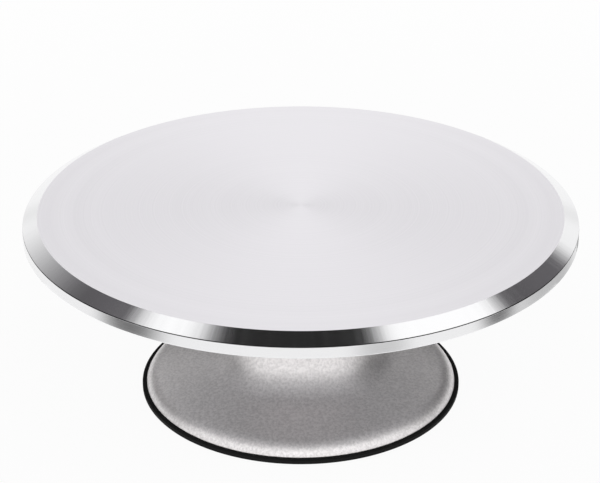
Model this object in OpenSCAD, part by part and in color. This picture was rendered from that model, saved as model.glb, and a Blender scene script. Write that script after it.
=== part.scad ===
// Cake turntable.
// A bevelled aluminium plate is screwed to a hub, and the hub's spindle turns in two ball
// bearings inside the neck of a cast aluminium foot. A rubber ring grips the foot's lower edge.
// The origin is on the table at the centre of the foot, and +Z points up.

/* [Stand] */
// Height from the table to the top of the plate
stand_h = 110.7; // [100:0.1:160]

/* [Plate] */
// Diameter of the plate over its rim
plate_d = 305; // [250:0.5:360]
// Thickness of the plate's top
plate_t = 4.5; // [3.5:0.1:7]
// Width of the polished bevel, seen from above
bevel_w = 8.2; // [5:0.1:12]
// Drop of the bevel from the plate's top to its rim
bevel_drop = 4.4; // [2.5:0.1:6]
// Height of the rim's upright side
rim_h = 6.5; // [5:0.1:12]
// Thickness of the rim's skirt
rim_t = 5.5; // [4:0.1:8]
// Fillet where the skirt meets the underside
rim_fillet = 2; // [0.5:0.1:2.8]
// Rounding of the skirt's lower edges
rim_round = 0.6; // [0.2:0.1:1.2]
// Height of the boss under the middle of the plate
boss_h = 4; // [3:0.1:8]
// Width of the boss left free around the hub
boss_margin = 2; // [1:0.1:6]

/* [Foot casting] */
// Diameter of the foot casting
foot_d = 176.6; // [160:0.2:220]
// Height of the foot's edge, measured to its sharp corner
foot_edge_h = 8; // [7:0.1:12]
// Rounding of the foot's edge
foot_edge_r = 11.3; // [9:0.1:12]
// Angle from upright at which that rounding meets the edge's side, in degrees
foot_edge_lean = 25; // [20:1:32]
// Slope of the foot's top, in degrees
foot_slope = 8.5; // [4:0.5:14]
// Wall thickness of the foot's top and of its sweep
foot_wall = 5; // [4:0.1:6]
// Thickness of the skirt that stands in the rubber ring
skirt_t = 6; // [4:0.1:9]
// Radius of the sweep between the foot's top and its neck
sweep_r = 24; // [18:0.5:30]
// Taper of the neck's side, in degrees
neck_taper = 11; // [6:0.5:13]
// Wall of the neck's top around the upper bearing
neck_wall = 6.5; // [5:0.1:8.5]
// Wall of the bearing column inside the foot
column_wall = 5; // [4:0.1:6]
// Height of the column's lower end above the table
column_lift = 24; // [20:0.5:30]

/* [Rubber ring] */
// Thickness of the rubber under the foot
rubber_t = 1.6; // [1:0.1:2.2]
// Thickness of the lip around the foot's edge
lip_t = 2.5; // [1.5:0.1:4]
// Height of that lip above the foot's lower edge
lip_h = 1; // [0.6:0.1:1.2]
// Thickness of the lip inside the skirt
inner_lip_t = 3; // [2:0.1:5]
// Height of the lip inside the skirt
inner_lip_h = 1.8; // [1:0.1:2.4]
// Rounding of the ring's outer edges
lip_round = 0.5; // [0.2:0.05:0.8]

/* [Bearings] */
// Bore of each ball bearing
bearing_bore = 15; // [14:0.5:17]
// Outside diameter of each ball bearing
bearing_od = 35; // [34:0.5:40]
// Width of each ball bearing
bearing_w = 11; // [10.5:0.5:14]
// Diameter of a ball
ball_d = 6; // [5:0.1:6.4]
// Number of balls in each bearing
ball_count = 8; // [6:1:9]
// Depth of the ball groove in each ring
groove_depth = 1.35; // [0.8:0.05:1.6]
// Chamfer on the rings' fitting edges
ring_chamfer = 0.5; // [0.2:0.05:0.8]
// Radial thickness of the ball cage
cage_t = 2; // [1.2:0.1:2.4]
// Web of the cage above and below each ball
cage_web = 0.7; // [0.4:0.05:0.8]
// Thickness of a bearing shield
shield_t = 0.4; // [0.3:0.05:0.6]
// Depth of a shield below the face of its bearing
shield_sink = 0.4; // [0.2:0.05:0.6]
// Width of the step that a shield is pressed into
shield_step = 0.9; // [0.6:0.05:1.2]
// Depth of the upper bearing below the neck's top
bearing_sink = 2; // [1:0.1:4]
// Width of the shoulder that each outer ring bears on
shoulder_w = 2.5; // [1.5:0.1:3]

/* [Retaining ring] */
// Thickness of the retaining ring under the lower bearing
clip_t = 1.5; // [1:0.1:2]
// Depth of its groove in the column
clip_groove = 1; // [0.6:0.1:1.4]
// Width of the ring inside the column's bore
clip_w = 2; // [1.4:0.1:2.4]
// Material of the column below the groove
clip_land = 2.5; // [2:0.1:5]
// Diameter of the lugs at the ring's ends
clip_lug_d = 5; // [4.4:0.1:5.4]
// Diameter of the pliers' holes in the lugs
clip_hole_d = 1.8; // [1.2:0.1:2.2]
// Angle between the two lugs, in degrees
clip_gap = 46; // [38:1:70]

/* [Hub and spindle] */
// Thickness of the hub's flange
hub_t = 6; // [5:0.1:9]
// Distance from a screw's axis to the flange's edge
hub_edge = 7; // [6:0.1:10]
// Rounding of the flange's lower edge
hub_round = 1; // [0.4:0.1:2]
// Running gap between the flange and the neck's top
hub_gap = 1.5; // [0.6:0.1:2]
// Wall of the hub's collar and of the spacer tube
spacer_wall = 2.5; // [1.8:0.1:2.8]
// Diameter of the spindle's head
head_d = 24; // [20:0.5:30]
// Height of the spindle's head
head_h = 3; // [2:0.1:4]
// Diameter of the spindle's threaded end
thread_d = 10; // [8:0.5:11]
// Length of thread that shows below the nut
thread_tip = 2; // [1:0.1:3]
// Chamfer on the spindle's threaded end
thread_chamfer = 1; // [0.4:0.1:1.5]
// Distance that the spindle's body stops short of the washer
clamp_short = 0.5; // [0.2:0.1:1]
// Diameter of the spindle's washer
washer_d = 20; // [18:0.5:20.5]
// Thickness of the spindle's washer
washer_t = 2; // [1:0.1:3]
// Width of the spindle's nut across its flats
nut_af = 16; // [15:0.5:19]
// Height of the spindle's nut
nut_h = 8.4; // [6:0.1:10]

/* [Hub screws] */
// Number of screws that hold the hub
screw_count = 4; // [3:1:8]
// Diameter of a screw's shank
screw_d = 5; // [4:0.5:6]
// Diameter of a screw's head
screw_head_d = 8.5; // [7.5:0.1:10]
// Height of a screw's head
screw_head_h = 5; // [3:0.1:6]
// Rounding of a screw's head
screw_round = 0.6; // [0.2:0.1:1]
// Width across the flats of a screw's socket
socket_af = 4; // [3:0.5:5]
// Depth of a screw's socket
socket_depth = 2.5; // [1.5:0.1:2.8]
// Length of a screw inside the plate's boss
screw_grip = 5; // [4:0.1:6]
// Depth of the boss's hole past the screw's end
hole_spare = 1; // [0.5:0.1:1.5]
// Outside diameter of a lock washer
lock_washer_d = 9.2; // [8.6:0.1:11]
// Thickness of a lock washer
lock_washer_t = 1.2; // [0.8:0.1:2]
// Width of the split in a lock washer
lock_washer_split = 0.8; // [0.4:0.1:1.5]
// Gap between the neck and the nearest screw's washer
neck_screw_gap = 2.4; // [1:0.1:6]

/* [Clearances] */
// Radial clearance of snug fits
fit_clear = 0.02; // [0.01:0.01:0.1]
// Radial clearance between a ball and its grooves
race_clear = 0.05; // [0.02:0.01:0.1]
// Clearance between a ball and its pocket
pocket_clear = 0.1; // [0.05:0.01:0.2]
// Clearance between a shield and the inner ring
shield_clear = 0.4; // [0.2:0.05:0.6]
// Radial clearance of a screw's plain holes
hole_clear = 0.25; // [0.1:0.05:0.5]
// Clearance of the rubber ring around the skirt
rubber_clear = 0.05; // [0.02:0.01:0.2]

/* [Hidden] */
$fn = 96;

cut = 1; // how far a cutting shape runs past the face it opens

// Plate, from its top down
plate_r = plate_d / 2;
flat_r = plate_r - bevel_w;
rim_in_r = plate_r - rim_t;
bevel_z = stand_h - bevel_drop;
rim_z = bevel_z - rim_h;
under_z = stand_h - plate_t;
boss_z = under_z - boss_h;

// Hub and neck
hub_z = boss_z - hub_t;
neck_top = hub_z - hub_gap;
neck_r = bearing_od / 2 + neck_wall;
screw_circle_r = neck_r + neck_screw_gap + lock_washer_d / 2;
hub_r = screw_circle_r + hub_edge;
boss_r = hub_r + boss_margin;
spacer_r = bearing_bore / 2 + spacer_wall;
spindle_r = bearing_bore / 2 - fit_clear;
screw_seat = hub_z - lock_washer_t;

// Bearings: each z is a bearing's lower face
upper_z = neck_top - bearing_sink - bearing_w;
lower_z = column_lift + clip_land + clip_t;
seat_r = bearing_od / 2 + fit_clear;
shoulder_r = bearing_od / 2 - shoulder_w;
column_r = bearing_od / 2 + column_wall;
pitch_r = (bearing_bore + bearing_od) / 4;
groove_r = ball_d / 2 + race_clear;
inner_land_r = pitch_r - groove_r + groove_depth;
outer_land_r = pitch_r + groove_r - groove_depth;

// Spindle's lower end
washer_z = lower_z - washer_t;
nut_z = washer_z - nut_h;

// Foot
foot_r = foot_d / 2;
skirt_in_r = foot_r - skirt_t;
slope_normal = [sin(foot_slope), cos(foot_slope)];
edge_normal = [cos(foot_edge_lean), sin(foot_edge_lean)];
edge_x = foot_r - foot_edge_r * edge_normal.x;
edge_centre = [edge_x, top_at(edge_x) - foot_edge_r / cos(foot_slope)];
neck_normal = [cos(neck_taper), sin(neck_taper)];
sweep_lift = sweep_r / cos(foot_slope); // height of the sweep's centre over the foot's top
sweep_out = sweep_r / cos(neck_taper) + (neck_top - top_at(0) - sweep_lift) * tan(neck_taper);
sweep_x = (neck_r + sweep_out) / (1 - tan(foot_slope) * tan(neck_taper));
sweep_centre = [sweep_x, top_at(sweep_x) + sweep_lift];
hollow_r = sweep_r + foot_wall;
hollow_top = sweep_centre - hollow_r * neck_normal;

// Height of the foot's sloping top at radius r
function top_at(r) = foot_edge_h + (foot_r - r) * tan(foot_slope);

// Height of the hollow's sloping roof at radius r
function roof_at(r) = top_at(r) - foot_wall / cos(foot_slope);

// The sliver between a corner and the arc that blends the two lines meeting there
module blend(from, corner, to, centre, r) {
    difference() {
        polygon([from, corner, to]);
        translate(centre) circle(r);
    }
}

// The same for a square corner, where side points from the corner to the arc's centre
module square_blend(corner, r, side) {
    blend(corner + [side.x * r, 0], corner, corner + [0, side.y * r], corner + side * r, r);
}

// Copies of the children on a circle about the spindle
module around(count, r) {
    for (i = [0 : count - 1]) rotate(i * 360 / count) translate([r, 0, 0]) children();
}

// Foot casting

module foot_outline() {
    difference() {
        polygon([
            [0, rubber_t], [foot_r, rubber_t], [foot_r, foot_edge_h],
            sweep_centre - sweep_r * slope_normal, sweep_centre - sweep_r * neck_normal,
            [neck_r, neck_top], [0, neck_top]
        ]);
        translate(sweep_centre) circle(sweep_r);
        blend(
            edge_centre + foot_edge_r * edge_normal, [foot_r, foot_edge_h],
            edge_centre + foot_edge_r * slope_normal, edge_centre, foot_edge_r
        );
    }
}

module foot_hollow() {
    difference() {
        polygon([
            [column_r, -cut], [skirt_in_r, -cut], [skirt_in_r, roof_at(skirt_in_r)],
            sweep_centre - hollow_r * slope_normal, hollow_top, [column_r, hollow_top.y]
        ]);
        translate(sweep_centre) circle(hollow_r);
    }
}

module inner_lip(clear) {
    translate([skirt_in_r - rubber_clear - inner_lip_t - clear, 0])
        square([inner_lip_t + 2 * clear, rubber_t + inner_lip_h + clear]);
}

module column_bore() {
    square([column_r + cut, column_lift]);
    translate([0, column_lift - cut]) square([seat_r, lower_z + bearing_w - column_lift + cut]);
    translate([0, lower_z - clip_t]) square([seat_r + clip_groove, clip_t]);
    square([shoulder_r, neck_top + cut]);
    translate([0, upper_z]) square([seat_r, neck_top - upper_z + cut]);
}

module base_casting() {
    color("silver") rotate_extrude() difference() {
        foot_outline();
        foot_hollow();
        inner_lip(rubber_clear);
        column_bore();
    }
}

module foot_ring() {
    outer_r = foot_r + rubber_clear + lip_t;
    color([0.08, 0.08, 0.08]) rotate_extrude() difference() {
        union() {
            translate([skirt_in_r - rubber_clear - inner_lip_t, 0])
                square([outer_r - skirt_in_r + rubber_clear + inner_lip_t, rubber_t]);
            translate([foot_r + rubber_clear, 0]) square([lip_t, rubber_t + lip_h]);
            inner_lip(0);
        }
        square_blend([outer_r, rubber_t + lip_h], lip_round, [-1, -1]);
        square_blend([outer_r, 0], lip_round, [-1, 1]);
    }
}

// Plate, hub and fasteners

module plate_outline() {
    fillet_z = under_z - rim_fillet;
    difference() {
        polygon([
            [0, stand_h], [flat_r, stand_h], [plate_r, bevel_z], [plate_r, rim_z],
            [rim_in_r, rim_z], [rim_in_r, fillet_z], [rim_in_r - rim_fillet, under_z],
            [boss_r + rim_fillet, under_z], [boss_r, fillet_z], [boss_r, boss_z], [0, boss_z]
        ]);
        for (r = [rim_in_r - rim_fillet, boss_r + rim_fillet])
            translate([r, fillet_z]) circle(rim_fillet);
        square_blend([plate_r, rim_z], rim_round, [-1, 1]);
        square_blend([rim_in_r, rim_z], rim_round, [1, 1]);
    }
}

module turntable_plate() {
    color("gainsboro") difference() {
        rotate_extrude() plate_outline();
        around(screw_count, screw_circle_r)
            translate([0, 0, boss_z - cut])
                cylinder(r = screw_d / 2 + fit_clear, h = screw_grip + hole_spare + cut);
    }
}

module plate_hub() {
    collar_z = upper_z + bearing_w;
    color("darkgray") difference() {
        rotate_extrude() difference() {
            polygon([
                [bearing_bore / 2, collar_z], [spacer_r, collar_z], [spacer_r, hub_z],
                [hub_r, hub_z], [hub_r, boss_z], [head_d / 2 + fit_clear, boss_z],
                [head_d / 2 + fit_clear, boss_z - head_h], [bearing_bore / 2, boss_z - head_h]
            ]);
            square_blend([hub_r, hub_z], hub_round, [-1, 1]);
        }
        around(screw_count, screw_circle_r)
            translate([0, 0, hub_z - cut])
                cylinder(r = screw_d / 2 + hole_clear, h = hub_t + 2 * cut);
    }
}

module hub_screw() {
    shank_h = screw_grip + hub_t + lock_washer_t;
    difference() {
        rotate_extrude() difference() {
            polygon([
                [0, -screw_head_h], [screw_head_d / 2, -screw_head_h], [screw_head_d / 2, 0],
                [screw_d / 2, 0], [screw_d / 2, shank_h], [0, shank_h]
            ]);
            square_blend([screw_head_d / 2, -screw_head_h], screw_round, [-1, 1]);
        }
        translate([0, 0, -screw_head_h - cut])
            cylinder(d = socket_af / cos(30), h = socket_depth + cut, $fn = 6);
    }
}

module hub_screws() {
    color("dimgray") around(screw_count, screw_circle_r) translate([0, 0, screw_seat]) hub_screw();
}

module lock_washer() {
    difference() {
        cylinder(d = lock_washer_d, h = lock_washer_t);
        translate([0, 0, -cut])
            cylinder(r = screw_d / 2 + fit_clear, h = lock_washer_t + 2 * cut);
        translate([0, -lock_washer_split / 2, -cut])
            cube([lock_washer_d, lock_washer_split, lock_washer_t + 2 * cut]);
    }
}

module hub_lock_washers() {
    color("gray") around(screw_count, screw_circle_r)
        translate([0, 0, screw_seat]) lock_washer();
}

module spindle() {
    tip_z = nut_z - thread_tip;
    body_z = lower_z + clamp_short;
    color("lightslategray") rotate_extrude() polygon([
        [0, tip_z], [thread_d / 2 - thread_chamfer, tip_z], [thread_d / 2, tip_z + thread_chamfer],
        [thread_d / 2, body_z], [spindle_r, body_z], [spindle_r, boss_z - head_h],
        [head_d / 2, boss_z - head_h], [head_d / 2, boss_z], [0, boss_z]
    ]);
}

module spindle_washer() {
    color("gray") translate([0, 0, washer_z]) difference() {
        cylinder(d = washer_d, h = washer_t);
        translate([0, 0, -cut])
            cylinder(r = thread_d / 2 + hole_clear, h = washer_t + 2 * cut);
    }
}

module spindle_nut() {
    corner_r = nut_af / 2 / cos(30);
    crown = corner_r - nut_af / 2; // height of the chamfer that turns the corners round
    color("gray") translate([0, 0, nut_z]) difference() {
        intersection() {
            cylinder(r = corner_r, h = nut_h, $fn = 6);
            rotate_extrude() polygon([
                [0, 0], [nut_af / 2, 0], [corner_r, crown], [corner_r, nut_h - crown],
                [nut_af / 2, nut_h], [0, nut_h]
            ]);
        }
        translate([0, 0, -cut])
            cylinder(r = thread_d / 2 + fit_clear, h = nut_h + 2 * cut);
    }
}

module bearing_spacer() {
    spacer_z = lower_z + bearing_w;
    color("darkgray") translate([0, 0, spacer_z]) difference() {
        cylinder(r = spacer_r, h = upper_z - spacer_z);
        translate([0, 0, -cut])
            cylinder(d = bearing_bore, h = upper_z - spacer_z + 2 * cut);
    }
}

// Ball bearings, each drawn with its lower face at z = 0

module ball_groove() {
    translate([pitch_r, bearing_w / 2]) circle(groove_r);
}

module outer_ring() {
    r = bearing_od / 2;
    step_h = shield_sink + shield_t;
    rotate_extrude() difference() {
        polygon([
            [outer_land_r, 0], [r - ring_chamfer, 0], [r, ring_chamfer],
            [r, bearing_w - ring_chamfer], [r - ring_chamfer, bearing_w],
            [outer_land_r, bearing_w]
        ]);
        ball_groove();
        for (z = [-cut, bearing_w - step_h])
            translate([outer_land_r - cut, z]) square([shield_step + cut, step_h + cut]);
    }
}

module inner_ring() {
    r = bearing_bore / 2;
    rotate_extrude() difference() {
        polygon([
            [r + ring_chamfer, 0], [inner_land_r, 0], [inner_land_r, bearing_w],
            [r + ring_chamfer, bearing_w], [r, bearing_w - ring_chamfer], [r, ring_chamfer]
        ]);
        ball_groove();
    }
}

module ball_set() {
    around(ball_count, pitch_r) translate([0, 0, bearing_w / 2]) sphere(ball_d / 2);
}

module ball_cage() {
    cage_h = ball_d + 2 * (pocket_clear + cage_web);
    difference() {
        translate([0, 0, (bearing_w - cage_h) / 2]) rotate_extrude()
            translate([pitch_r - cage_t / 2, 0]) square([cage_t, cage_h]);
        around(ball_count, pitch_r - cage_t)
            translate([0, 0, bearing_w / 2]) rotate([0, 90, 0])
                cylinder(r = ball_d / 2 + pocket_clear, h = 2 * cage_t);
    }
}

module shield_pair() {
    inner_r = inner_land_r + shield_clear;
    for (z = [shield_sink, bearing_w - shield_sink - shield_t])
        translate([0, 0, z]) rotate_extrude()
            translate([inner_r, 0]) square([outer_land_r + shield_step - fit_clear - inner_r, shield_t]);
}

module upper_bearing_outer_ring() { color("slategray") translate([0, 0, upper_z]) outer_ring(); }
module upper_bearing_inner_ring() { color("slategray") translate([0, 0, upper_z]) inner_ring(); }
module upper_bearing_balls() { color("lightgray") translate([0, 0, upper_z]) ball_set(); }
module upper_bearing_cage() { color([0.16, 0.16, 0.17]) translate([0, 0, upper_z]) ball_cage(); }
module upper_bearing_shields() { color("gray") translate([0, 0, upper_z]) shield_pair(); }
module lower_bearing_outer_ring() { color("slategray") translate([0, 0, lower_z]) outer_ring(); }
module lower_bearing_inner_ring() { color("slategray") translate([0, 0, lower_z]) inner_ring(); }
module lower_bearing_balls() { color("lightgray") translate([0, 0, lower_z]) ball_set(); }
module lower_bearing_cage() { color([0.16, 0.16, 0.17]) translate([0, 0, lower_z]) ball_cage(); }
module lower_bearing_shields() { color("gray") translate([0, 0, lower_z]) shield_pair(); }

// Retaining ring, open between its two lugs

module bearing_retaining_ring() {
    outer_r = seat_r + clip_groove - fit_clear;
    inner_r = bearing_od / 2 - clip_w;
    lug_r = inner_r - clip_lug_d / 2 + clip_w / 2;
    color("dimgray") translate([0, 0, lower_z - clip_t]) difference() {
        union() {
            rotate(clip_gap / 2) rotate_extrude(angle = 360 - clip_gap)
                translate([inner_r, 0]) square([outer_r - inner_r, clip_t]);
            for (a = [-1, 1]) rotate(a * clip_gap / 2) translate([lug_r, 0, 0])
                cylinder(d = clip_lug_d, h = clip_t);
        }
        for (a = [-1, 1]) rotate(a * clip_gap / 2) translate([lug_r, 0, -cut])
            cylinder(d = clip_hole_d, h = clip_t + 2 * cut);
    }
}

base_casting();
foot_ring();
turntable_plate();
plate_hub();
hub_screws();
hub_lock_washers();
spindle();
spindle_washer();
spindle_nut();
bearing_spacer();
upper_bearing_outer_ring();
upper_bearing_inner_ring();
upper_bearing_balls();
upper_bearing_cage();
upper_bearing_shields();
lower_bearing_outer_ring();
lower_bearing_inner_ring();
lower_bearing_balls();
lower_bearing_cage();
lower_bearing_shields();
bearing_retaining_ring();
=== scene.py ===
import math
import bpy
import bmesh
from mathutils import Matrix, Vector


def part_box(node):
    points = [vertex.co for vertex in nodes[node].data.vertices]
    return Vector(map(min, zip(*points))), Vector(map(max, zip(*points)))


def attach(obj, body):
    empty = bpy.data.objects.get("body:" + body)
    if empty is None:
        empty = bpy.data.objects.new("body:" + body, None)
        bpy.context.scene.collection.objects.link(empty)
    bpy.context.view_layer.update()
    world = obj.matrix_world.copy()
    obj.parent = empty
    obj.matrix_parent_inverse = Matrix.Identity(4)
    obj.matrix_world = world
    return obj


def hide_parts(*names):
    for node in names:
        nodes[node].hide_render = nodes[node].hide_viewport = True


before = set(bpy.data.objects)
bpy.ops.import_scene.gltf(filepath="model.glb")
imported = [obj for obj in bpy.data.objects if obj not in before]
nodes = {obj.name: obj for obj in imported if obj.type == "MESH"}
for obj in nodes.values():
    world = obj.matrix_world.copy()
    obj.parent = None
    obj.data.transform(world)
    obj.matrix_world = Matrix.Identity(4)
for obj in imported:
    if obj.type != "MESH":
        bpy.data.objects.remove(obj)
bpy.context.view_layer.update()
scene = bpy.context.scene
scene.view_settings.view_transform = "Standard"
mm = 0.001
white = "#ffffff"  # of the paper and the panels behind the object


# small helpers

def linear(code):  # sRGB hex to a linear colour
    channels = [int(code[i:i + 2], 16) / 255 for i in (1, 3, 5)]
    return tuple(c / 12.92 if c <= 0.04045 else ((c + 0.055) / 1.055) ** 2.4 for c in channels) + (1.0,)


def grey(level):  # an amount of light, where 1 is the white of the paper
    return (level, level, level, 1.0)


def sine(degrees):
    return math.sin(math.radians(degrees))


def cosine(degrees):
    return math.cos(math.radians(degrees))


def addNode(tree, kind, inputs=None, **settings):  # an input is a value, or the output of another node
    node = tree.nodes.new(kind)
    for name, value in settings.items():
        setattr(node, name, value)
    for name, value in (inputs or {}).items():
        if isinstance(value, bpy.types.NodeSocket):
            tree.links.new(value, node.inputs[name])
        else:
            node.inputs[name].default_value = value
    return node


def softMask(tree, edges):  # 1 where the source of every edge has gone from its start to its end
    mask = None
    for source, start, end in edges:
        step = addNode(tree, "ShaderNodeMapRange", {"Value": source, "From Min": start, "From Max": end},
                       interpolation_type="SMOOTHSTEP").outputs[0]
        if mask is None:
            mask = step
        else:
            mask = addNode(tree, "ShaderNodeMath", {0: mask, 1: step}, operation="MULTIPLY").outputs[0]
    return mask


def newMaterial(name):
    material = bpy.data.materials.new(name)
    material.use_nodes = True
    material.node_tree.nodes.clear()
    return material, material.node_tree


# camera, from the ellipses of the plate and the foot

cameraView = {
    "lens": 113.1,       # mm
    "sensor": 36,        # mm
    "back": 941.9,       # mm in front of the spin axis
    "height": 549.4,     # mm above the table
    "aside": -0.39,      # mm off the spin axis
    "tiltDown": 26.093,  # degrees
}
cameraData = bpy.data.cameras.new("camera")
cameraData.lens = cameraView["lens"]
cameraData.sensor_width = cameraView["sensor"]
camera = bpy.data.objects.new("camera", cameraData)
camera.location = (cameraView["aside"] * mm, -cameraView["back"] * mm, cameraView["height"] * mm)
camera.rotation_euler = (math.radians(90 - cameraView["tiltDown"]), 0, 0)
scene.collection.objects.link(camera)
scene.camera = camera
print("camera placed")


# studio: white paper under and behind, a bright wall behind the camera, two dark corners at the back,
# a softbox high in front of each corner and a dark patch of ceiling
# heights are degrees above the horizon, headings are degrees from straight behind the object,
# and sides run from 1 straight behind it to -1 behind the camera

backdrop = {
    "corner": "#646265",
    # the left corner fades slowly into the paper, the right one ends sharply
    "cornerHeights": ((11, 46), (21, 29)),
    "cornerSeam": 0.1,  # half the width of the soft seam where the corners meet
    # dark wings outside the corners
    "wing": {"shade": "#464545", "headings": (84, 52), "soft": 0.08, "bottom": (10, 18), "top": (50, 40)},
    # a white panel straight behind, and above it a grey one, paler than the corners
    "panel": {"halfWidth": 27, "sideSoft": 4, "top": 38, "upper": "#c8c8c8", "upperTop": 66, "topSoft": 6},
    # the wall behind the camera, which gets brighter higher up
    "wall": {"low": 0.82, "high": 1.05, "brightens": (32, 48), "sides": (0.15, -0.10),
             "top": 84, "topSoft": 6},
    # grey cards standing to the left and right, so that the polished rim reads
    "flag": {"shade": "#8c8b8b", "sides": (0.42, 0.22), "top": 8, "topSoft": 5},
    # a dark patch of ceiling, the left and the right softbox, and a dark patch behind the camera
    "boxes": ({"heading": 0, "height": 83, "radius": 14, "soft": 3, "level": 0.0225},
              {"heading": -60, "height": 64.5, "radius": 5, "soft": 5, "level": 1.14},
              {"heading": 60, "height": 61.5, "radius": 12.5, "soft": 3, "level": 1.14},
              {"heading": 180, "height": 66, "radius": 11, "soft": 3, "level": 0.08}),
}


def makeWorld():
    world = bpy.data.worlds.new("studio")
    scene.world = world
    world.use_nodes = True
    tree = world.node_tree
    tree.nodes.clear()
    sight = addNode(tree, "ShaderNodeTexCoord").outputs["Generated"]
    split = addNode(tree, "ShaderNodeSeparateXYZ", {0: sight})
    east, height = split.outputs["X"], split.outputs["Z"]
    flat = addNode(tree, "ShaderNodeCombineXYZ", {"X": east, "Y": split.outputs["Y"]})
    heading = addNode(tree, "ShaderNodeVectorMath", {0: flat.outputs[0]}, operation="NORMALIZE")
    side = addNode(tree, "ShaderNodeSeparateXYZ", {0: heading.outputs[0]}).outputs["Y"]
    eitherSide = addNode(tree, "ShaderNodeMath", {0: side}, operation="ABSOLUTE").outputs[0]

    def rising(low, high):
        return (height, sine(low), sine(high))

    def below(top, soft):
        return rising(top + soft, top - soft)

    # the paper goes over into a dark corner on the left and on the right
    left, right = (softMask(tree, [rising(*heights)]) for heights in backdrop["cornerHeights"])
    seam = softMask(tree, [(east, -backdrop["cornerSeam"], backdrop["cornerSeam"])])
    dark = addNode(tree, "ShaderNodeMix", {0: seam, 2: left, 3: right}).outputs[0]
    colour = addNode(tree, "ShaderNodeMix", {0: dark, 6: linear(white), 7: linear(backdrop["corner"])},
                     data_type="RGBA").outputs[2]

    # what stands in front of them, each with the edges between which it shows
    wing, panel, wall, flag = (backdrop[name] for name in ("wing", "panel", "wall", "flag"))
    wingOuter, wingInner = (cosine(degrees) for degrees in wing["headings"])
    panelSides = (side, cosine(panel["halfWidth"] + panel["sideSoft"]),
                  cosine(panel["halfWidth"] - panel["sideSoft"]))
    brighter = softMask(tree, [rising(*wall["brightens"])])
    wallShade = addNode(tree, "ShaderNodeMix", {0: brighter, 6: grey(wall["low"]), 7: grey(wall["high"])},
                        data_type="RGBA").outputs[2]
    patches = [
        (linear(wing["shade"]), [(side, wingOuter - wing["soft"], wingOuter + wing["soft"]),
                                 (side, wingInner + wing["soft"], wingInner - wing["soft"]),
                                 rising(*wing["bottom"]), rising(*wing["top"])]),
        (linear(panel["upper"]), [panelSides, below(panel["upperTop"], panel["topSoft"])]),
        (linear(white), [panelSides, below(panel["top"], panel["topSoft"])]),
        (wallShade, [(side, *wall["sides"]), below(wall["top"], wall["topSoft"])]),
        (linear(flag["shade"]), [(eitherSide, *flag["sides"]), below(flag["top"], flag["topSoft"])]),
    ]
    for box in backdrop["boxes"]:
        reach = cosine(box["height"])
        aim = (sine(box["heading"]) * reach, cosine(box["heading"]) * reach, sine(box["height"]))
        near = addNode(tree, "ShaderNodeVectorMath", {0: sight, 1: aim}, operation="DOT_PRODUCT")
        edge = (near.outputs["Value"], cosine(box["radius"] + box["soft"]),
                cosine(box["radius"] - box["soft"]))
        patches.append((grey(box["level"]), [edge]))
    for shade, edges in patches:
        colour = addNode(tree, "ShaderNodeMix", {0: softMask(tree, edges), 6: colour, 7: shade},
                         data_type="RGBA").outputs[2]
    # plain white behind the object
    seen = addNode(tree, "ShaderNodeLightPath").outputs["Is Camera Ray"]
    colour = addNode(tree, "ShaderNodeMix", {0: seen, 6: colour, 7: linear(white)},
                     data_type="RGBA").outputs[2]
    back = addNode(tree, "ShaderNodeBackground", {"Color": colour})
    addNode(tree, "ShaderNodeOutputWorld", {"Surface": back.outputs[0]})


paper = {
    "shade": "#fafafa",
    "radius": 8,               # metres
    "segments": 96,
    "lift": 0.94,              # share of the paper's white that doesn't depend on the lamp
    "fullWhite": (0.25, 1.2),  # metres from the object, over which it runs into the backdrop
    # painted reflections: round dark and pale patches on the paper beside the object, which only glossy rays
    # see, so only its metal shows them: x, y and radius in metres, and shade
    "paintedReflections": ((-0.291, -0.196, 0.066, "#585858"), (0.312, -0.130, 0.042, "#1c1c1c"),
              (0.330, 0.040, 0.120, "#c4c4c4"), (0.139, -0.301, 0.045, "#d0d0d0")),
    "reflectionFade": (1.6, 0.4),    # in radii of the painted reflection patch
}


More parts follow.
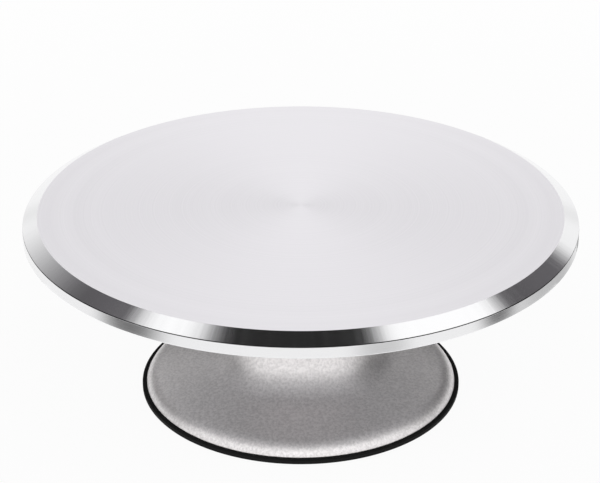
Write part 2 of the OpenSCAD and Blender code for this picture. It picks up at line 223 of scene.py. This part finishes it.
def makeFloor():
    bm = bmesh.new()
    bmesh.ops.create_circle(bm, cap_ends=True, radius=paper["radius"], segments=paper["segments"])
    mesh = bpy.data.meshes.new("floor")
    bm.to_mesh(mesh)
    bm.free()
    floor = bpy.data.objects.new("floor", mesh)
    scene.collection.objects.link(floor)
    material, tree = newMaterial("whitePaper")  # matt seamless paper, lit so that its shadow stays faint
    matt = addNode(tree, "ShaderNodeBsdfDiffuse", {"Color": linear(paper["shade"])})
    path = addNode(tree, "ShaderNodeLightPath")
    direct, glossy = path.outputs["Is Camera Ray"], path.outputs["Is Glossy Ray"]
    place = addNode(tree, "ShaderNodeTexCoord").outputs["Object"]
    shown = linear(white)
    # painted reflections: where a glossy ray meets a patch, the paper shows the patch's shade instead of
    # white
    for x, y, radius, shade in paper["paintedReflections"]:
        away = addNode(tree, "ShaderNodeVectorMath", {0: place, 1: (x, y, 0)}, operation="DISTANCE")
        paintedReflection = softMask(tree, [(away.outputs["Value"], *(radius * radii for radii in paper["reflectionFade"]))])
        share = addNode(tree, "ShaderNodeMath", {0: paintedReflection, 1: glossy}, operation="MULTIPLY")
        shown = addNode(tree, "ShaderNodeMix", {0: share.outputs[0], 6: shown, 7: linear(shade)},
                        data_type="RGBA").outputs[2]
    glow = addNode(tree, "ShaderNodeEmission", {"Color": shown})
    seen = addNode(tree, "ShaderNodeMath", {0: direct, 1: glossy}, operation="MAXIMUM")
    # far from the object the paper is full white, so that it runs into the backdrop
    far = addNode(tree, "ShaderNodeVectorMath", {0: place}, operation="LENGTH")
    rise = addNode(tree, "ShaderNodeMapRange", {
        "Value": far.outputs["Value"], "From Min": paper["fullWhite"][0], "From Max": paper["fullWhite"][1],
        "To Min": paper["lift"], "To Max": 1.0}, interpolation_type="SMOOTHSTEP")
    lift = addNode(tree, "ShaderNodeMath", {0: seen.outputs[0], 1: rise.outputs[0]}, operation="MULTIPLY")
    lit = addNode(tree, "ShaderNodeMixShader", {0: lift.outputs[0], 1: matt.outputs[0], 2: glow.outputs[0]})
    # the floor is clear from below, so that the underside can be looked at
    clear = addNode(tree, "ShaderNodeBsdfTransparent")
    under = addNode(tree, "ShaderNodeNewGeometry").outputs["Backfacing"]
    shader = addNode(tree, "ShaderNodeMixShader", {0: under, 1: lit.outputs[0], 2: clear.outputs[0]})
    addNode(tree, "ShaderNodeOutputMaterial", {"Surface": shader.outputs[0]})
    mesh.materials.append(material)


# painted reflections: curved glowing panels lower than the plate's rim, which only glossy rays see, so that
# only the metal below it shows them as dark and bright marks
# radius and height are in metres, middle and spread in degrees round the spin axis

paintedReflectionPanels = {
    "paintedDarkReflection": {"radius": 0.175, "middle": 90, "spread": 44, "height": (0.016, 0.078),
                 "shade": "#383838", "level": 1.0},
    "paintedDarkReflectionWing": {"radius": 0.176, "middle": 90, "spread": 79, "height": (0.022, 0.056),
                 "shade": "#202020", "level": 1.0},
    "paintedRightReflectionWing": {"radius": 0.1765, "middle": 50, "spread": 39, "height": (0.056, 0.084),
                  "shade": "#484848", "level": 1.0},
    "paintedPaleReflection": {"radius": 0.165, "middle": -90, "spread": 72, "height": (0.002, 0.040),
                 "shade": "#f0f0f0", "level": 1.0},
    "paintedWhiteReflection": {"radius": 0.165, "middle": -90, "spread": 70, "height": (0.048, 0.086),
                  "shade": "#ffffff", "level": 1.25},
}
reflectionPanelSteps = 24


def makePaintedReflectionPanels():
    for name, paintedReflection in paintedReflectionPanels.items():
        verts = []
        for i in range(reflectionPanelSteps + 1):
            a = paintedReflection["middle"] + paintedReflection["spread"] * (2 * i / reflectionPanelSteps - 1)
            verts += [(paintedReflection["radius"] * cosine(a), paintedReflection["radius"] * sine(a), z) for z in paintedReflection["height"]]
        faces = [(2 * i, 2 * i + 2, 2 * i + 3, 2 * i + 1) for i in range(reflectionPanelSteps)]
        mesh = bpy.data.meshes.new(name)
        mesh.from_pydata(verts, [], faces)
        piece = bpy.data.objects.new(name, mesh)
        scene.collection.objects.link(piece)
        piece.visible_camera = piece.visible_diffuse = piece.visible_shadow = False
        material, tree = newMaterial(name)  # glowing panel seen only in the metal: a painted reflection, dark or bright
        shade = linear(paintedReflection["shade"])
        glow = addNode(tree, "ShaderNodeEmission", {"Color": shade, "Strength": paintedReflection["level"]})
        addNode(tree, "ShaderNodeOutputMaterial", {"Surface": glow.outputs[0]})
        mesh.materials.append(material)


# a soft lamp aimed at the middle of the table, in metres
softbox = {"watts": 8, "size": (1.6, 1.2), "place": (0.3, -1.7, 2.5)}


def makeLamp():
    light = bpy.data.lights.new("softbox", "AREA")
    light.shape = "RECTANGLE"
    light.size, light.size_y = softbox["size"]
    light.energy = softbox["watts"]
    lamp = bpy.data.objects.new("softbox", light)
    lamp.location = softbox["place"]
    lamp.rotation_euler = (-lamp.location).to_track_quat("-Z", "Y").to_euler()
    scene.collection.objects.link(lamp)


makeWorld()
makeFloor()
makePaintedReflectionPanels()
makeLamp()
print("studio ready")


# finishes

def axisDistance(tree):  # metres from the spin axis
    place = addNode(tree, "ShaderNodeTexCoord").outputs["Object"]
    flat = addNode(tree, "ShaderNodeVectorMath", {0: place, 1: (1, 1, 0)}, operation="MULTIPLY")
    return addNode(tree, "ShaderNodeVectorMath", {0: flat.outputs[0]}, operation="LENGTH").outputs["Value"]


def satinTurnedAluminium():
    # aluminium faced on a lathe: fine rings, a soft sheen that runs round the middle
    material, tree = newMaterial("satinTurnedAluminium")
    radius = axisDistance(tree)
    feed = addNode(tree, "ShaderNodeTexNoise", {"W": radius, "Scale": 1 / (0.9 * mm), "Detail": 2.0},
                   noise_dimensions="1D")  # the real feed is about 0.2 mm, drawn coarser to show
    bands = addNode(tree, "ShaderNodeTexNoise", {"W": radius, "Scale": 1 / (9 * mm), "Detail": 1.0},
                    noise_dimensions="1D")
    rough = addNode(tree, "ShaderNodeMapRange", {"Value": bands.outputs[0], "To Min": 0.28, "To Max": 0.32})
    tint = addNode(tree, "ShaderNodeMix", {0: feed.outputs[0], 6: linear("#e8e6ea"), 7: linear("#f0eef2")},
                   data_type="RGBA")
    bump = addNode(tree, "ShaderNodeBump", {"Height": feed.outputs[0], "Strength": 0.12,
                                            "Distance": 0.02 * mm})
    around = addNode(tree, "ShaderNodeTangent", direction_type="RADIAL", axis="Z")
    shader = addNode(tree, "ShaderNodeBsdfPrincipled", {
        "Base Color": tint.outputs[2], "Metallic": 1.0, "Roughness": rough.outputs[0], "Anisotropic": 0.45,
        "Normal": bump.outputs[0], "Tangent": around.outputs[0]})
    addNode(tree, "ShaderNodeOutputMaterial", {"Surface": shader.outputs[0]})
    return material


def mirrorTurnedAluminium():
    # the bevel is cut with a diamond tool: nearly a mirror, with faint streaks across it
    material, tree = newMaterial("mirrorTurnedAluminium")
    place = addNode(tree, "ShaderNodeTexCoord").outputs["Object"]
    split = addNode(tree, "ShaderNodeSeparateXYZ", {0: place})
    angle = addNode(tree, "ShaderNodeMath", {0: split.outputs["Y"], 1: split.outputs["X"]},
                    operation="ARCTAN2")
    streaks = addNode(tree, "ShaderNodeTexNoise", {"W": angle.outputs[0], "Scale": 152 / 4, "Detail": 3.0},
                      noise_dimensions="1D")  # 4 mm apart at a radius of 152 mm
    rough = addNode(tree, "ShaderNodeMapRange", {"Value": streaks.outputs[0], "To Min": 0.06, "To Max": 0.14})
    bump = addNode(tree, "ShaderNodeBump", {"Height": streaks.outputs[0], "Strength": 0.45,
                                            "Distance": 0.02 * mm})
    around = addNode(tree, "ShaderNodeTangent", direction_type="RADIAL", axis="Z")
    shader = addNode(tree, "ShaderNodeBsdfPrincipled", {
        "Base Color": linear("#f0f0f1"), "Metallic": 1.0, "Roughness": rough.outputs[0], "Anisotropic": 0.3,
        "Normal": bump.outputs[0], "Tangent": around.outputs[0]})
    addNode(tree, "ShaderNodeOutputMaterial", {"Surface": shader.outputs[0]})
    return material


def polishedRimAluminium():
    # the upright side is polished along the rim, which leaves fine level lines
    material, tree = newMaterial("polishedRimAluminium")
    place = addNode(tree, "ShaderNodeTexCoord").outputs["Object"]
    height = addNode(tree, "ShaderNodeSeparateXYZ", {0: place}).outputs["Z"]
    lines = addNode(tree, "ShaderNodeTexNoise", {"W": height, "Scale": 1 / (0.7 * mm), "Detail": 2.0},
                    noise_dimensions="1D")  # real lines are about 0.1 mm apart, drawn coarser to show
    rough = addNode(tree, "ShaderNodeMapRange", {"Value": lines.outputs[0], "To Min": 0.10, "To Max": 0.22})
    bump = addNode(tree, "ShaderNodeBump", {"Height": lines.outputs[0], "Strength": 0.15,
                                            "Distance": 0.02 * mm})
    around = addNode(tree, "ShaderNodeTangent", direction_type="RADIAL", axis="Z")
    shader = addNode(tree, "ShaderNodeBsdfPrincipled", {
        "Base Color": linear("#eeeeef"), "Metallic": 1.0, "Roughness": rough.outputs[0], "Anisotropic": 0.3,
        "Normal": bump.outputs[0], "Tangent": around.outputs[0]})
    addNode(tree, "ShaderNodeOutputMaterial", {"Surface": shader.outputs[0]})
    return material


def machinedAluminium():
    # plain turned aluminium where nobody looks: visible feed marks and a duller grey
    material, tree = newMaterial("machinedAluminium")
    radius = axisDistance(tree)
    feed = addNode(tree, "ShaderNodeTexNoise", {"W": radius, "Scale": 1 / (0.8 * mm), "Detail": 2.0},
                   noise_dimensions="1D")  # the real feed is about 0.3 mm, drawn coarser to show
    rough = addNode(tree, "ShaderNodeMapRange", {"Value": feed.outputs[0], "To Min": 0.30, "To Max": 0.48})
    bump = addNode(tree, "ShaderNodeBump", {"Height": feed.outputs[0], "Strength": 0.25,
                                            "Distance": 0.03 * mm})
    around = addNode(tree, "ShaderNodeTangent", direction_type="RADIAL", axis="Z")
    shader = addNode(tree, "ShaderNodeBsdfPrincipled", {
        "Base Color": linear("#b0b0b2"), "Metallic": 1.0, "Roughness": rough.outputs[0], "Anisotropic": 0.5,
        "Normal": bump.outputs[0], "Tangent": around.outputs[0]})
    addNode(tree, "ShaderNodeOutputMaterial", {"Surface": shader.outputs[0]})
    return material


def blastedAluminium():
    # sand-blasted casting: an even grey satin with a fine sparkle
    material, tree = newMaterial("blastedAluminium")
    place = addNode(tree, "ShaderNodeTexCoord").outputs["Object"]
    # real grit is about 0.15 mm, drawn at 0.9 mm in relief and 1.6 mm in colour to show at this distance
    grit = addNode(tree, "ShaderNodeTexNoise", {"Vector": place, "Scale": 1 / (0.9 * mm), "Detail": 2.0})
    mottle = addNode(tree, "ShaderNodeTexNoise", {"Vector": place, "Scale": 1 / (1.6 * mm), "Detail": 3.0,
                                                  "Roughness": 0.75})
    clouds = addNode(tree, "ShaderNodeTexNoise", {"Vector": place, "Scale": 1 / (14 * mm), "Detail": 2.0})
    speck = softMask(tree, [(mottle.outputs[0], 0.33, 0.67)])  # its middle third, for clearer specks
    tint = addNode(tree, "ShaderNodeMix", {0: speck, 6: linear("#e0dddd"), 7: linear("#fbf8f8")},
                   data_type="RGBA")
    rough = addNode(tree, "ShaderNodeMapRange", {"Value": clouds.outputs[0], "To Min": 0.42, "To Max": 0.50})
    bump = addNode(tree, "ShaderNodeBump", {"Height": grit.outputs[0], "Strength": 0.4,
                                            "Distance": 0.1 * mm})
    shader = addNode(tree, "ShaderNodeBsdfPrincipled", {
        "Base Color": tint.outputs[2], "Metallic": 1.0, "Roughness": rough.outputs[0],
        "Normal": bump.outputs[0]})
    addNode(tree, "ShaderNodeOutputMaterial", {"Surface": shader.outputs[0]})
    return material


def mouldedRubber():
    # black moulded rubber: matt, with a faint pebble from the mould
    material, tree = newMaterial("mouldedRubber")
    place = addNode(tree, "ShaderNodeTexCoord").outputs["Object"]
    pebble = addNode(tree, "ShaderNodeTexNoise", {"Vector": place, "Scale": 1 / (0.9 * mm), "Detail": 2.0})
    tint = addNode(tree, "ShaderNodeMix", {0: pebble.outputs[0], 6: linear("#070707"), 7: linear("#101010")},
                   data_type="RGBA")
    bump = addNode(tree, "ShaderNodeBump", {"Height": pebble.outputs[0], "Strength": 0.3,
                                            "Distance": 0.05 * mm})
    shader = addNode(tree, "ShaderNodeBsdfPrincipled", {
        "Base Color": tint.outputs[2], "Metallic": 0.0, "Roughness": 0.8, "IOR": 1.52,
        "Specular IOR Level": 0.2, "Normal": bump.outputs[0]})
    addNode(tree, "ShaderNodeOutputMaterial", {"Surface": shader.outputs[0]})
    return material


def mouldedNylon():
    # black glass-filled nylon, as moulded: a dull sheen with faint flecks of glass
    material, tree = newMaterial("mouldedNylon")
    place = addNode(tree, "ShaderNodeTexCoord").outputs["Object"]
    fleck = addNode(tree, "ShaderNodeTexNoise", {"Vector": place, "Scale": 1 / (0.4 * mm), "Detail": 2.0})
    tint = addNode(tree, "ShaderNodeMix", {0: fleck.outputs[0], 6: linear("#161617"), 7: linear("#262628")},
                   data_type="RGBA")
    shader = addNode(tree, "ShaderNodeBsdfPrincipled", {
        "Base Color": tint.outputs[2], "Metallic": 0.0, "Roughness": 0.45, "IOR": 1.53})
    addNode(tree, "ShaderNodeOutputMaterial", {"Surface": shader.outputs[0]})
    return material


metalSkins = {
    # painted shade: the groove between the bevel and the rim is coloured dull and dark to stand for the
    # shadow in it
    "paintedGrooveShade": {"dark": "#1f1f20", "light": "#343436", "rough": (0.5, 0.7), "patch": 1.5 * mm},
    # bar ground to size: an even grey shine
    "groundSteel": {"dark": "#8f9092", "light": "#a9aaac", "rough": (0.22, 0.34), "patch": 1.5 * mm},
    # bright zinc plate: bluish and a little cloudy
    "zincPlatedSteel": {"dark": "#9aa0a8", "light": "#b9bec4", "rough": (0.24, 0.40), "patch": 2 * mm},
    # blackened in a hot bath and oiled: dark with a dull shine
    "blackOxideSteel": {"dark": "#1d1d1f", "light": "#2c2c2f", "rough": (0.34, 0.5), "patch": 1 * mm},
    # hardened and lapped: close to a mirror
    "polishedBearingSteel": {"dark": "#a4a5a7", "light": "#b6b7b9", "rough": (0.08, 0.14), "patch": 3 * mm},
    # pressed from cold-rolled sheet: a flat mid grey
    "pressedShieldSteel": {"dark": "#85868a", "light": "#9c9da1", "rough": (0.28, 0.42), "patch": 2 * mm},
}


def skinnedMetal(name, skin):
    # small metal pieces: a thin skin in small uneven patches
    material, tree = newMaterial(name)
    place = addNode(tree, "ShaderNodeTexCoord").outputs["Object"]
    marks = addNode(tree, "ShaderNodeTexNoise", {"Vector": place, "Scale": 1 / skin["patch"], "Detail": 3.0})
    dark, light = linear(skin["dark"]), linear(skin["light"])
    tint = addNode(tree, "ShaderNodeMix", {0: marks.outputs[0], 6: dark, 7: light}, data_type="RGBA")
    low, high = skin["rough"]
    rough = addNode(tree, "ShaderNodeMapRange", {"Value": marks.outputs[0], "To Min": low, "To Max": high})
    bump = addNode(tree, "ShaderNodeBump", {"Height": marks.outputs[0], "Strength": 0.1,
                                            "Distance": 0.02 * mm})
    shader = addNode(tree, "ShaderNodeBsdfPrincipled", {
        "Base Color": tint.outputs[2], "Metallic": 1.0, "Roughness": rough.outputs[0],
        "Normal": bump.outputs[0]})
    addNode(tree, "ShaderNodeOutputMaterial", {"Surface": shader.outputs[0]})
    return material


finishes = {
    "satinTop": satinTurnedAluminium(),
    "bevel": mirrorTurnedAluminium(),
    "rim": polishedRimAluminium(),
    "machined": machinedAluminium(),
    "blasted": blastedAluminium(),
    "rubber": mouldedRubber(),
    "nylon": mouldedNylon(),
}
for name, skin in metalSkins.items():
    finishes[name] = skinnedMetal(name, skin)
print("finishes:", len(finishes))


# lathe work: a profile is runs of points with their normals, from the middle of the top outwards

def straight(start, end, finish):
    along = Vector(end) - Vector(start)
    normal = Vector((-along.y, along.x)).normalized()
    return {"points": [Vector(start), Vector(end)], "normals": [normal, normal], "finish": finish}


def arc(centre, radius, fromDeg, toDeg, steps, finish, hollow=False):
    run = {"points": [], "normals": [], "finish": finish}
    for i in range(steps + 1):
        a = math.radians(fromDeg + (toDeg - fromDeg) * i / steps)
        spoke = Vector((math.cos(a), math.sin(a)))
        run["points"].append(Vector(centre) + spoke * radius)
        run["normals"].append(-spoke if hollow else spoke)
    return run


onAxis = 1e-7  # metres, below which a ring is a single point
sameDigits = 8  # decimals of a metre to which two runs meet


def lathe(name, runs, turns, finishOrder):
    verts, faces, slots, loopNormals = [], [], [], []
    rings = {}

    def swing(point, i):
        a = 2 * math.pi * i / turns
        return (point.x * math.cos(a), point.x * math.sin(a), point.y)

    def ring(point):  # its first vertex and how many it has
        key = (round(point.x, sameDigits), round(point.y, sameDigits))
        if key not in rings:
            count = turns if point.x > onAxis else 1
            rings[key] = (len(verts), count)
            verts.extend(swing(point, i) for i in range(count))
        return rings[key]

    for run in runs:
        points, normals = run["points"], run["normals"]
        for here in range(len(points) - 1):
            (first, firstCount), (second, secondCount) = ring(points[here]), ring(points[here + 1])
            firstNormal, secondNormal = normals[here], normals[here + 1]
            for i in range(turns):
                j = (i + 1) % turns
                corners = [(first + i % firstCount, firstNormal, i),
                           (second + i % secondCount, secondNormal, i),
                           (second + j % secondCount, secondNormal, j),
                           (first + j % firstCount, firstNormal, j)]
                if firstCount == 1:
                    corners = corners[:3]
                if secondCount == 1:
                    corners = [corners[0], corners[1], corners[3]]
                faces.append([vert for vert, normal, turn in corners])
                slots.append(finishOrder.index(run["finish"]))
                loopNormals.extend(swing(normal, turn) for vert, normal, turn in corners)
    mesh = bpy.data.meshes.new(name)
    mesh.from_pydata(verts, [], faces)
    for finish in finishOrder:
        mesh.materials.append(finishes[finish])
    mesh.polygons.foreach_set("material_index", slots)
    mesh.polygons.foreach_set("use_smooth", [True] * len(faces))
    mesh.normals_split_custom_set(loopNormals)
    mesh.update()
    piece = bpy.data.objects.new(name, mesh)
    scene.collection.objects.link(piece)
    return piece


# turntable plate

plateLow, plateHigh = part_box("turntable_plate")
plate = {
    "bevelWidth": 8.2 * mm,
    "bevelDrop": 4.4 * mm,
    "thickness": 4.5 * mm,
    "rimThickness": 5.5 * mm,
    "fillet": 2 * mm,
    "filletSteps": 6,
    "rimRound": 0.6 * mm,
    "rimRoundSteps": 5,
    "edgeBreak": 0.12 * mm,   # dulled edges beside the bevel
    "edgeBreakSteps": 4,
    "groove": 0.5 * mm,       # tool run-out between the bevel and the rim
    "grooveLip": 0.3,         # shares of the groove's height: how far its lip stands back from the rim,
    "grooveDepth": 0.9,       # how far its root does,
    "grooveRoot": 0.6,        # and how far the root is below the lip
    "bossHeight": 4 * mm,
    "bossMargin": 2 * mm,
    "turns": 512,
}


def makePlate():
    outer, top, rimBottom = plateHigh.x, plateHigh.z, plateLow.z
    flat = outer - plate["bevelWidth"]
    bevelFoot = top - plate["bevelDrop"]
    slope = math.degrees(math.atan2(plate["bevelDrop"], plate["bevelWidth"]))
    under = top - plate["thickness"]
    inner = outer - plate["rimThickness"]
    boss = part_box("plate_hub")[1].x + plate["bossMargin"]
    bossBottom = under - plate["bossHeight"]
    fillet, filletSteps = plate["fillet"], plate["filletSteps"]
    bend, bendSteps = plate["rimRound"], plate["rimRoundSteps"]
    dull, dullSteps = plate["edgeBreak"], plate["edgeBreakSteps"]
    # dulled edge between the flat and the bevel, and a fine groove between the bevel and the rim
    topBack = dull * math.tan(math.radians(slope / 2))
    topArc = arc((flat - topBack, top - dull), dull, 90, 90 - slope, dullSteps, "bevel")
    groove = plate["groove"]
    lipBack = groove * plate["grooveLip"]
    lip = (outer - lipBack, bevelFoot + lipBack * math.tan(math.radians(slope)))
    root = (outer - groove * plate["grooveDepth"], lip[1] - groove * plate["grooveRoot"])
    rimTop = lip[1] - groove
    runs = [
        straight((0, top), topArc["points"][0], "satinTop"),
        topArc,
        straight(topArc["points"][-1], lip, "bevel"),
        # the groove's two faces carry the painted shade
        straight(lip, root, "paintedGrooveShade"),
        straight(root, (outer - dull, rimTop), "paintedGrooveShade"),
        arc((outer - dull, rimTop - dull), dull, 90, 0, dullSteps, "rim"),
        straight((outer, rimTop - dull), (outer, rimBottom + bend), "rim"),
        arc((outer - bend, rimBottom + bend), bend, 0, -90, bendSteps, "rim"),
        straight((outer - bend, rimBottom), (inner + bend, rimBottom), "machined"),
        arc((inner + bend, rimBottom + bend), bend, -90, -180, bendSteps, "machined"),
        straight((inner, rimBottom + bend), (inner, under - fillet), "machined"),
        arc((inner - fillet, under - fillet), fillet, 0, 90, filletSteps, "machined", hollow=True),
        straight((inner - fillet, under), (boss + fillet, under), "machined"),
        arc((boss + fillet, under - fillet), fillet, 90, 180, filletSteps, "machined", hollow=True),
        straight((boss, under - fillet), (boss, bossBottom), "machined"),
        straight((boss, bossBottom), (0, bossBottom), "machined"),
    ]
    finishOrder = ["satinTop", "bevel", "paintedGrooveShade", "rim", "machined"]
    piece = lathe("turntablePlate", runs, plate["turns"], finishOrder)
    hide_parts("turntable_plate")
    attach(piece, "turntable")


makePlate()
print("plate turned")


# rubber foot ring

ringLow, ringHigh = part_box("foot_ring")
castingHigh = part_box("base_casting")[1]
footRing = {
    "underThickness": 1.6 * mm,
    "lipHeight": 1.0 * mm,
    "clear": 0.05 * mm,
    "skirt": 6 * mm,
    "innerLip": 3 * mm,
    "round": 0.5 * mm,
    "roundSteps": 6,
    "turns": 384,
}


def makeFootRing():
    outer, bottom, innerTop = ringHigh.x, ringLow.z, ringHigh.z
    lipInner = castingHigh.x + footRing["clear"]
    seat = bottom + footRing["underThickness"]
    lipTop = seat + footRing["lipHeight"]
    skirtInner = castingHigh.x - footRing["skirt"] - footRing["clear"]
    inner = skirtInner - footRing["innerLip"]
    bend, bendSteps = footRing["round"], footRing["roundSteps"]
    runs = [
        straight((lipInner, lipTop), (outer - bend, lipTop), "rubber"),
        arc((outer - bend, lipTop - bend), bend, 90, 0, bendSteps, "rubber"),
        straight((outer, lipTop - bend), (outer, bottom + bend), "rubber"),
        arc((outer - bend, bottom + bend), bend, 0, -90, bendSteps, "rubber"),
        straight((outer - bend, bottom), (inner, bottom), "rubber"),
        straight((inner, bottom), (inner, innerTop), "rubber"),
        straight((inner, innerTop), (skirtInner, innerTop), "rubber"),
        straight((skirtInner, innerTop), (skirtInner, seat), "rubber"),
        straight((skirtInner, seat), (lipInner, seat), "rubber"),
        straight((lipInner, seat), (lipInner, lipTop), "rubber"),
    ]
    piece = lathe("footRing", runs, footRing["turns"], ["rubber"])
    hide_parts("foot_ring")
    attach(piece, "foot")


makeFootRing()
print("foot ring turned")


# finishes of the pieces that keep their own shape

nodeFinishes = {
    "base_casting": "blasted",
    "plate_hub": "machined",
    "bearing_spacer": "machined",
    "hub_screws": "blackOxideSteel",
    "bearing_retaining_ring": "blackOxideSteel",
    "hub_lock_washers": "zincPlatedSteel",
    "spindle_washer": "zincPlatedSteel",
    "spindle_nut": "zincPlatedSteel",
    "spindle": "groundSteel",
}
bearingFinishes = {
    "outer_ring": "polishedBearingSteel",
    "inner_ring": "polishedBearingSteel",
    "balls": "polishedBearingSteel",
    "cage": "nylon",
    "shields": "pressedShieldSteel",
}
for bearing in ("upper_bearing_", "lower_bearing_"):
    for part, finish in bearingFinishes.items():
        nodeFinishes[bearing + part] = finish
for name, finish in nodeFinishes.items():
    nodes[name].data.materials.clear()
    nodes[name].data.materials.append(finishes[finish])
print("finishes on", len(nodeFinishes), "nodes")
